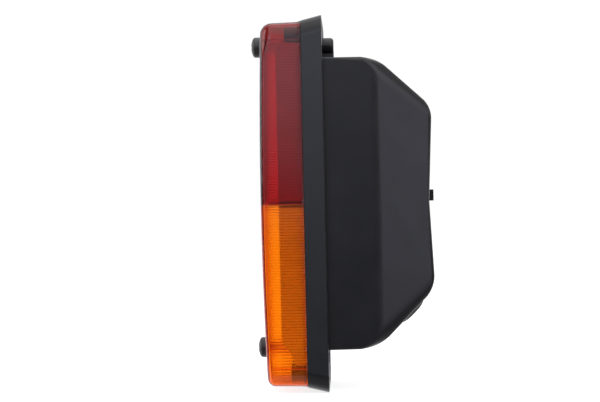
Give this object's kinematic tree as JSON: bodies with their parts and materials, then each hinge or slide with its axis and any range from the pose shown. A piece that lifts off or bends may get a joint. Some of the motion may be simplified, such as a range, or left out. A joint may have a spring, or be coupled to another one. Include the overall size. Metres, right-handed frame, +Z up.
{
  "type": "rear turn signal light",
  "caption": "Tall two-colour rear lamp: red stop and tail half over an amber turn signal half, crowned lens, flared hollow skirt and deep rear housing.",
  "frame": {"origin": "centre of the skirt's rear rim, which lies on the vehicle's panel, and of the four fixing holes", "axes": "+Y square to the rim, from the lens towards the rear housing; +Z up along the lamp's height; +X across its width"},
  "size_m": [0.1298, 0.1493, 0.305],
  "materials": {
    "base_plastic": "satin moulded black plastic, paler and unpolished on the skirt's inner side",
    "housing_plastic": "fine-grained matt black plastic",
    "red_lens": "clear red moulded lens, fluted inside",
    "amber_lens": "clear amber moulded lens, fluted inside",
    "seal_rubber": "soft black rubber",
    "grommet_rubber": "moulded black rubber",
    "reflector": "silver lacquer on plastic",
    "divider_plastic": "white plastic",
    "bulb_glass": "clear glass",
    "bulb_glass_amber": "clear glass",
    "plated_steel": "zinc plated",
    "insulator": "brown laminate",
    "brass": "plain brass",
    "terminal_plastic": "cream plastic",
    "clip_plastic": "black plastic",
    "dark_screw": "black coated screw"
  },
  "bodies": {
    "root": {"base_frame": "base_plastic", "rear_housing": "housing_plastic", "red_lens": "red_lens", "amber_lens": "amber_lens", "lens_seal": "seal_rubber", "housing_seal": "seal_rubber", "stop_reflector": "reflector", "turn_reflector": "reflector", "light_divider": "divider_plastic", "stop_tail_bulb": "bulb_glass", "turn_bulb": "bulb_glass_amber", "stop_bulb_holder": "plated_steel", "turn_bulb_holder": "plated_steel", "stop_contact_plate": "insulator", "turn_contact_plate": "insulator", "contact_pins": "brass", "stop_feed_strip": "brass", "tail_feed_strip": "brass", "turn_feed_strip": "brass", "earth_strip": "plated_steel", "terminal_block": "terminal_plastic", "terminal_screws": "plated_steel", "cable_grommet": "grommet_rubber", "rear_clip": "clip_plastic", "upper_lens_screw": "dark_screw", "lower_lens_screw": "dark_screw", "screw_seals": "seal_rubber", "thread_inserts": "brass", "housing_screws": "plated_steel", "reflector_screws": "plated_steel", "drain_plug": "grommet_rubber"}
  },
  "joints": []
}
